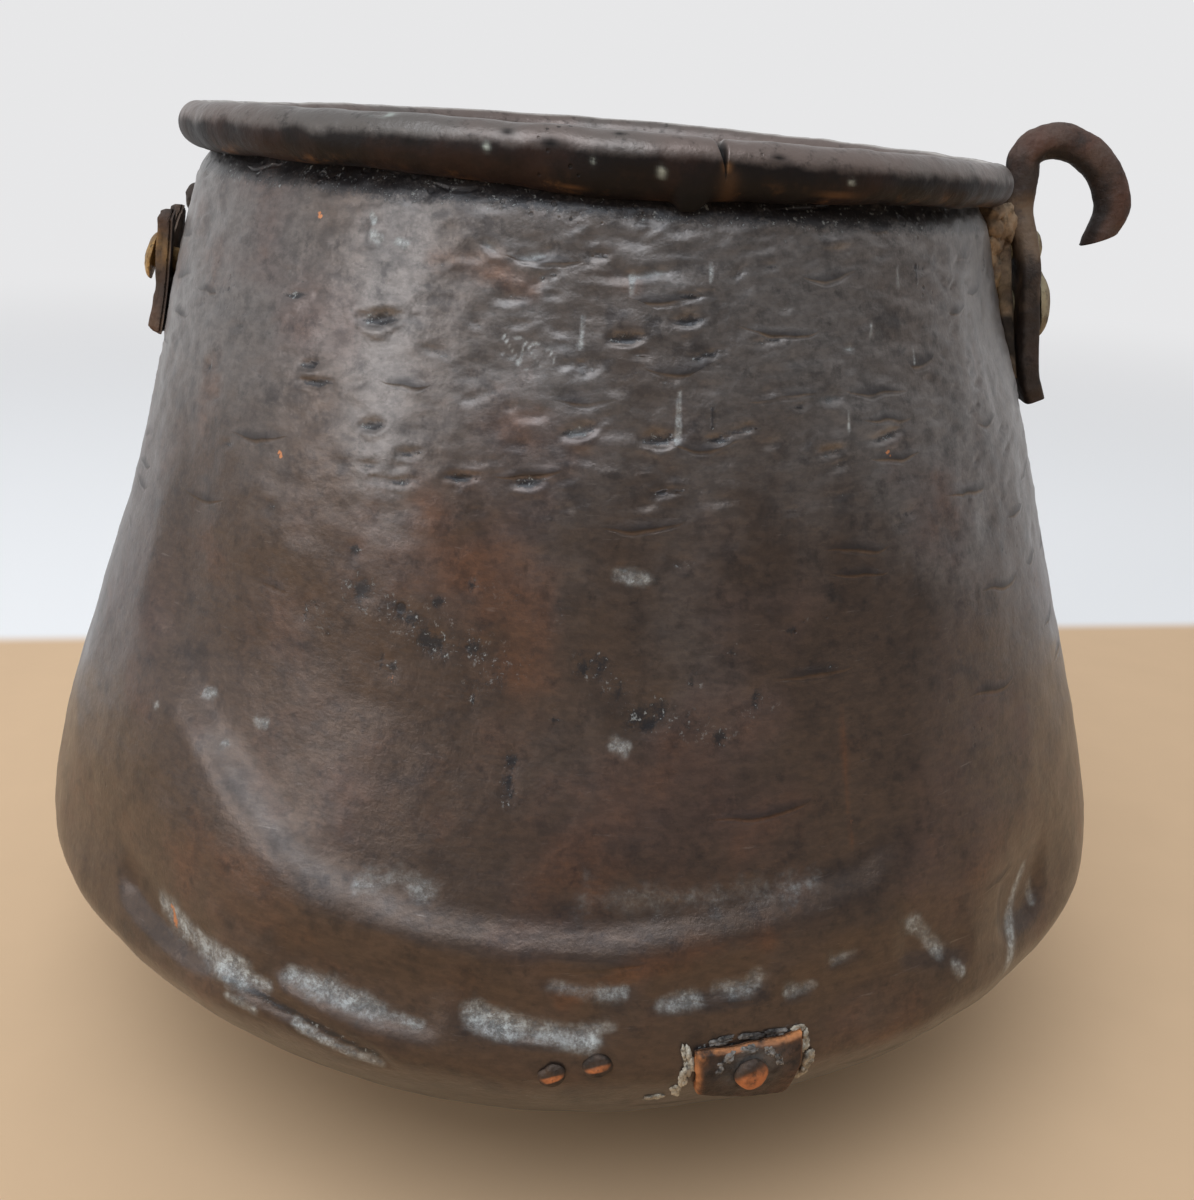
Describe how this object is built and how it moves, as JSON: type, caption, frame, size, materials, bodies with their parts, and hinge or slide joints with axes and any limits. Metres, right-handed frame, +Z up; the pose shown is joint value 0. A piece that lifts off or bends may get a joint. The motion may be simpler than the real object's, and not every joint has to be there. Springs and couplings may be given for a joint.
{
  "type": "copper pot",
  "caption": "Round-bellied open copper pot with a wired rolled rim, a riveted iron hook, a broken strap opposite and a riveted patch low on the belly.",
  "frame": {"origin": "centre of the flat base, on the surface the pot stands on", "axes": "+Z up the pot's axis, +X towards the iron hook, -Y towards the viewer"},
  "size_m": [0.24, 0.2411, 0.2016],
  "materials": {
    "copper_sheet": "dark brown patinated hammered copper",
    "bright_copper": "worn copper, brighter than the body",
    "brass_rivet": "dull yellow rivet metal",
    "iron": "rusty forged iron",
    "packing": "dry ochre packing"
  },
  "bodies": {
    "root": {"pot_body": "copper_sheet", "rim_wire": "iron", "hook_strap": "iron", "hook_packing": "packing", "hook_lower_rivet": "iron", "hook_upper_rivet": "iron", "broken_strap": "iron", "broken_strap_rivet": "brass_rivet", "left_neck_rivet": "iron", "patch_plate": "bright_copper", "patch_rivet": "bright_copper", "patch_rove": "bright_copper", "plug_rivet_left": "bright_copper", "plug_rivet_right": "bright_copper"}
  },
  "joints": []
}
